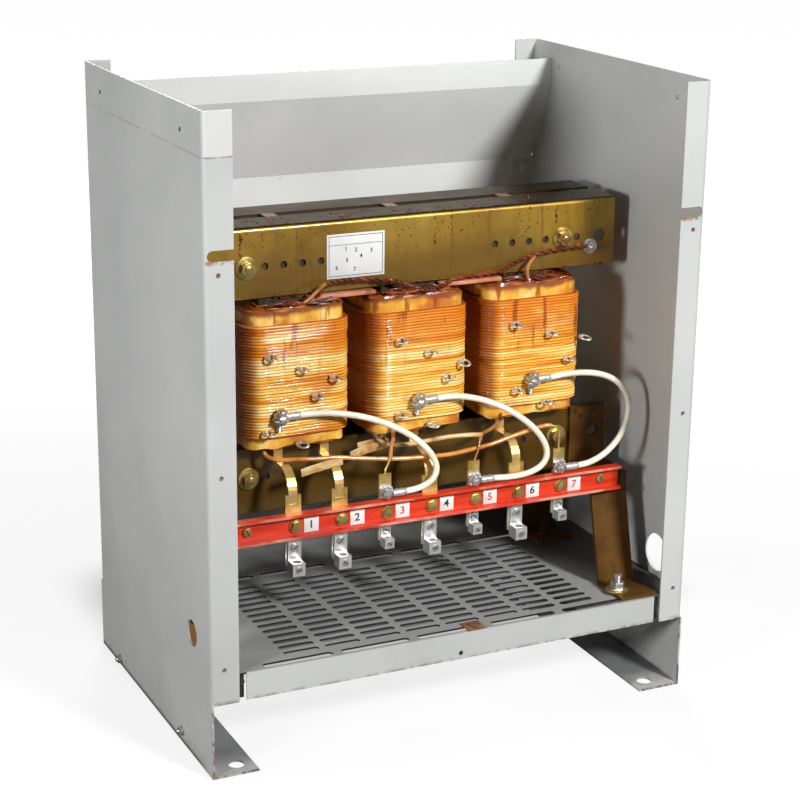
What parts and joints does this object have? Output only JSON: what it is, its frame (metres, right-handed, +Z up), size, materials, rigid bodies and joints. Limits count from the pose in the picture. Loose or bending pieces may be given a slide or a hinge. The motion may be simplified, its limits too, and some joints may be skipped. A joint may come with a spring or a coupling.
{
  "type": "power transformer",
  "caption": "Open dry-type three-phase power transformer: varnished core and coils, red terminal board and leads in a grey folded sheet cabinet",
  "frame": {"origin": "middle of the cabinet's footprint, on the floor under the foot flanges", "axes": "+X to the viewer's right of the open front, +Y from the open front to the back cover, +Z up"},
  "size_m": [0.562, 0.375, 0.686],
  "materials": {
    "cabinet_paint": "light grey paint on folded steel sheet, scuffed",
    "core_steel": "varnished silicon steel laminations",
    "winding": "varnished enamelled turns",
    "collar_paper": "varnished insulating paper",
    "clamp_varnish": "dipped varnish over steel sheet",
    "stand_varnish": "dipped varnish over steel strip",
    "tan_insulation": "insulating tube and board",
    "board_red": "red glass-fibre polyester",
    "strap_brass": "varnished metal strip",
    "plate_tin": "tinned plate",
    "lug_aluminium": "plated aluminium",
    "lead_white": "white sleeve",
    "lead_amber": "varnished round conductor"
  },
  "bodies": {
    "root": {"left_side_panel": "cabinet_paint", "right_side_panel": "cabinet_paint", "back_cover": "cabinet_paint", "base_floor": "cabinet_paint", "front_sill": "cabinet_paint", "rear_sill": "cabinet_paint", "lower_yoke": "core_steel", "upper_yoke": "core_steel", "left_core_leg": "core_steel", "middle_core_leg": "core_steel", "right_core_leg": "core_steel", "left_coil": "winding", "middle_coil": "winding", "right_coil": "winding", "left_collar": "collar_paper", "middle_collar": "collar_paper", "right_collar": "collar_paper", "upper_front_clamp": "clamp_varnish", "upper_rear_clamp": "clamp_varnish", "lower_front_clamp": "clamp_varnish", "lower_rear_clamp": "clamp_varnish", "tie_tubes": "tan_insulation", "flange_spacers": "tan_insulation", "front_left_stand": "stand_varnish", "front_right_stand": "stand_varnish", "rear_left_stand": "stand_varnish", "rear_right_stand": "stand_varnish", "terminal_board": "board_red", "terminal_plate_1": "strap_brass", "terminal_plate_2": "strap_brass", "terminal_plate_3": "plate_tin", "terminal_plate_4": "strap_brass", "terminal_plate_5": "plate_tin", "terminal_plate_6": "strap_brass", "terminal_plate_7": "plate_tin", "lug_1": "lug_aluminium", "lug_2": "lug_aluminium", "lug_3": "lug_aluminium", "lug_4": "lug_aluminium", "lug_5": "lug_aluminium", "lug_6": "lug_aluminium", "lug_7": "lug_aluminium", "coil_straps": "strap_brass", "lead_crimps": "lug_aluminium", "white_lead_1": "lead_white", "white_lead_2": "lead_white", "white_lead_3": "lead_white", "delta_lead": "lead_amber"}
  },
  "joints": []
}
